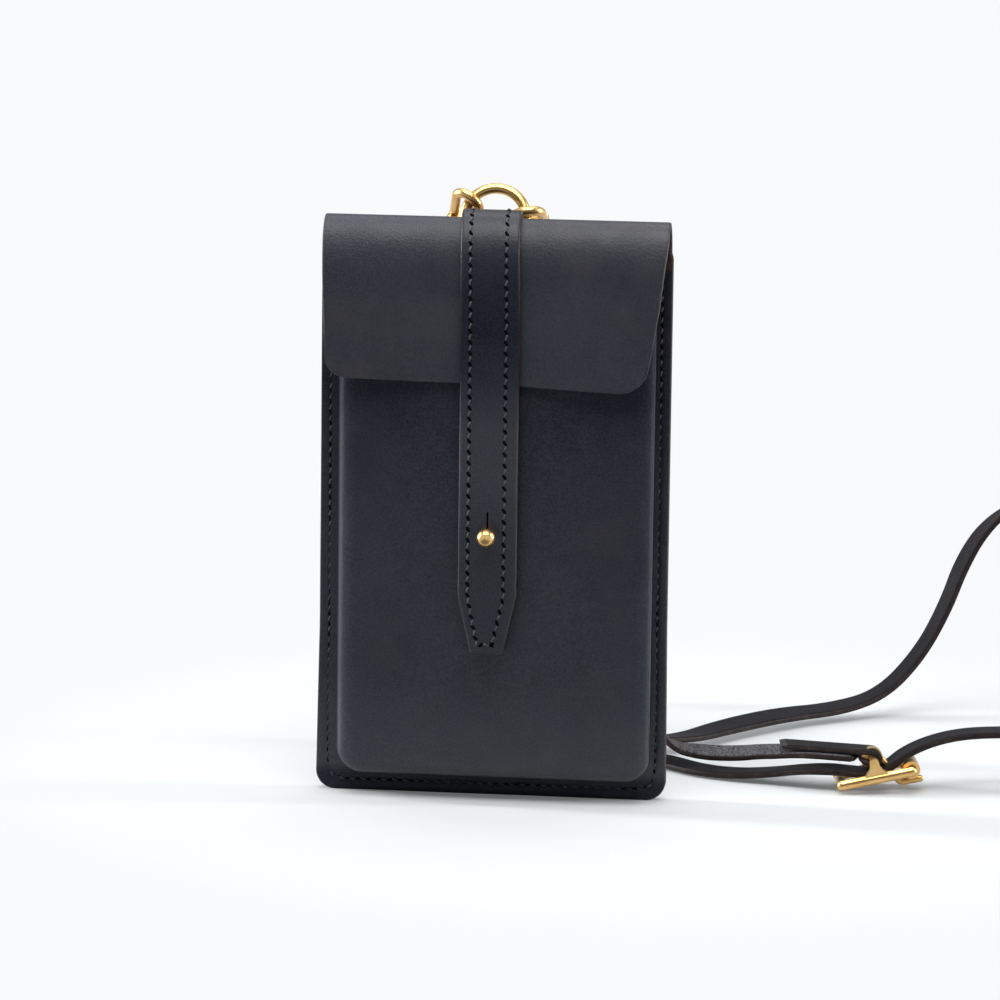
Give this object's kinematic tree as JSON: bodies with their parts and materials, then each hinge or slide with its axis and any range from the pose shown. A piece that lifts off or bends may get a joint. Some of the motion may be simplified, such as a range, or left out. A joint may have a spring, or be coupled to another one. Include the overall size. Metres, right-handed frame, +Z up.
{
  "type": "phone pouch",
  "caption": "Black leather phone pouch with wet-moulded front, flap, stitched closure strap on a brass stud, brass ring with snap hooks and a narrow buckled shoulder strap.",
  "frame": {"origin": "middle of the lower edge, in the seam plane between the front and back panels", "axes": "+X to the wearer's left as seen from the front (viewer's right), +Y to the back, +Z up"},
  "size_m": [0.293, 0.1734, 0.1929],
  "materials": {
    "pouch_leather": "satin",
    "closure_leather": "satin",
    "strap_leather": "matte",
    "brass": "polished",
    "steel": "satin"
  },
  "bodies": {
    "pouch": {"back_panel": "pouch_leather", "front_panel": "pouch_leather", "closure_stud": "brass", "stud_screw": "brass", "ring_tab": "pouch_leather", "long_strap": "strap_leather", "short_strap": "strap_leather", "buckle_frame": "brass", "buckle_fold": "strap_leather"},
    "flap_top": {"flap_top": "pouch_leather", "closure_lining_top": "closure_leather", "closure_strap_top": "closure_leather"},
    "flap_front": {"flap_front": "pouch_leather", "closure_lining_front": "closure_leather", "closure_strap_front": "closure_leather"},
    "tab": {"closure_tab": "closure_leather", "closure_tab_lining": "closure_leather"},
    "ring": {"o_ring": "brass", "snap_hook_left": "brass", "snap_hook_right": "brass", "gate_pin_left": "steel", "gate_pin_right": "steel", "gate_spring_left": "steel", "gate_spring_right": "steel"},
    "gate_left": {"gate_left": "brass"},
    "gate_right": {"gate_right": "brass"},
    "swivel_left": {"swivel_eye_left": "brass", "strap_end_left": "strap_leather"},
    "swivel_right": {"swivel_eye_right": "brass", "strap_end_right": "strap_leather"},
    "roller": {"buckle_roller": "brass"},
    "prong": {"buckle_prong": "brass"}
  },
  "joints": [
    {"name": "flap_hinge", "type": "hinge", "parent": "pouch", "child": "flap_top", "pos_m": [0, -0.00057, 0.18108], "axis": [-1, 0, 0], "range_deg": [0, 80], "deforming": ["closure_tab", "closure_tab_lining"]},
    {"name": "flap_fold", "type": "hinge", "parent": "flap_top", "child": "flap_front", "pos_m": [0, -0.0195, 0.17841], "axis": [-1, 0, 0], "range_deg": [0, 96], "deforming": ["closure_tab", "closure_tab_lining"]},
    {"name": "tab_hinge", "type": "hinge", "parent": "flap_front", "child": "tab", "pos_m": [0, -0.0195, 0.1301], "axis": [-1, 0, 0], "range_deg": [0, 25], "deforming": ["closure_tab", "closure_tab_lining"]},
    {"name": "ring_swing", "type": "hinge", "parent": "pouch", "child": "ring", "pos_m": [-0.002, 0.00589, 0.1733], "axis": [-1, 0, 0], "range_deg": [-15, 60], "deforming": ["long_strap", "short_strap"]},
    {"name": "gate_left_hinge", "type": "hinge", "parent": "ring", "child": "gate_left", "pos_m": [-0.00928, 0.02075, 0.17732], "axis": [-0.4755, -0.5951, -0.6479], "range_deg": [0, 24], "stiffness_Nm_per_rad": 0.01},
    {"name": "swivel_left_turn", "type": "hinge", "parent": "ring", "child": "swivel_left", "pos_m": [-0.01092, 0.01145, 0.18707], "axis": [-0.1545, 0.7816, -0.6044], "range_deg": [-12, 12], "deforming": ["long_strap"]},
    {"name": "gate_right_hinge", "type": "hinge", "parent": "ring", "child": "gate_right", "pos_m": [0.00402, 0.02184, 0.17835], "axis": [-0.1564, 0.37, 0.9158], "range_deg": [0, 24], "stiffness_Nm_per_rad": 0.01},
    {"name": "swivel_right_turn", "type": "hinge", "parent": "ring", "child": "swivel_right", "pos_m": [0.00817, 0.01013, 0.18379], "axis": [0, 0.9272, -0.3746], "range_deg": [-12, 12], "deforming": ["short_strap"]},
    {"name": "roller_spin", "type": "hinge", "parent": "pouch", "child": "roller", "pos_m": [0.13125, 0.02734, 0.00755], "axis": [-0.1392, 0.9903, 0], "continuous": true},
    {"name": "prong_hinge", "type": "hinge", "parent": "pouch", "child": "prong", "pos_m": [0.11919, 0.02564, 0.01048], "axis": [-0.1392, 0.9903, 0], "range_deg": [0, 30]}
  ],
  "couplings": [
    {"joint": "flap_fold", "follows": "flap_hinge", "ratio": 1.2}
  ]
}
